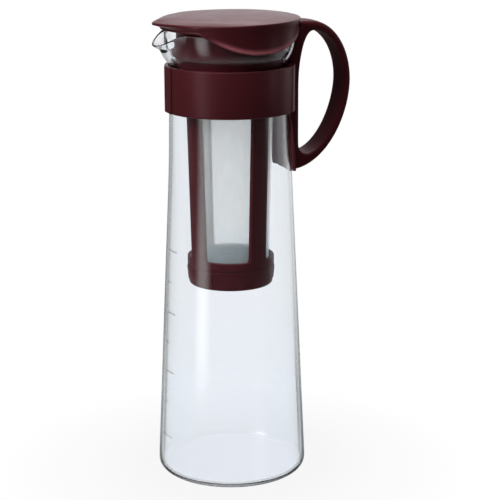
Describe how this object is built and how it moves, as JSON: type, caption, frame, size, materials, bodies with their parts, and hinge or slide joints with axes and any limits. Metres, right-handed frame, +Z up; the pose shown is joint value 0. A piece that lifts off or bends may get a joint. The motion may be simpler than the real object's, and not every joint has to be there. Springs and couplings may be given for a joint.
{
  "type": "cold brew coffee maker",
  "caption": "Tall tapered glass carafe with a pouring spout, a moulded neck band with a loop handle, a hanging mesh strainer with a twist-off cap, and a lift-off lid.",
  "frame": {"origin": "centre of the flat glass base, on the surface that the carafe stands on", "axes": "+Z up, -X towards the pouring spout, +X towards the handle, +Y to the side"},
  "size_m": [0.131, 0.098, 0.3025],
  "materials": {
    "clear_glass": "clear polished borosilicate glass",
    "brown_plastic": "glossy reddish brown moulded polypropylene",
    "fine_mesh": "pale fine woven polyester mesh"
  },
  "bodies": {
    "carafe": {"glass_carafe": "clear_glass", "neck_band_left": "brown_plastic", "neck_band_right": "brown_plastic", "band_clip": "brown_plastic", "handle": "brown_plastic"},
    "strainer": {"strainer_frame": "brown_plastic", "mesh_sleeve": "fine_mesh"},
    "cap": {"strainer_cap": "brown_plastic"},
    "lid": {"lid": "brown_plastic"}
  },
  "joints": [
    {"name": "strainer_lift", "type": "slide", "parent": "carafe", "child": "strainer", "axis": [0, 0, 1], "range_m": [0, 0.18]},
    {"name": "lid_lift", "type": "slide", "parent": "strainer", "child": "lid", "axis": [0, 0, 1], "range_m": [0, 0.04]},
    {"name": "cap_twist", "type": "hinge", "parent": "strainer", "child": "cap", "pos_m": [0, 0, 0.134], "axis": [0, 0, 1], "range_deg": [0, 28]}
  ]
}
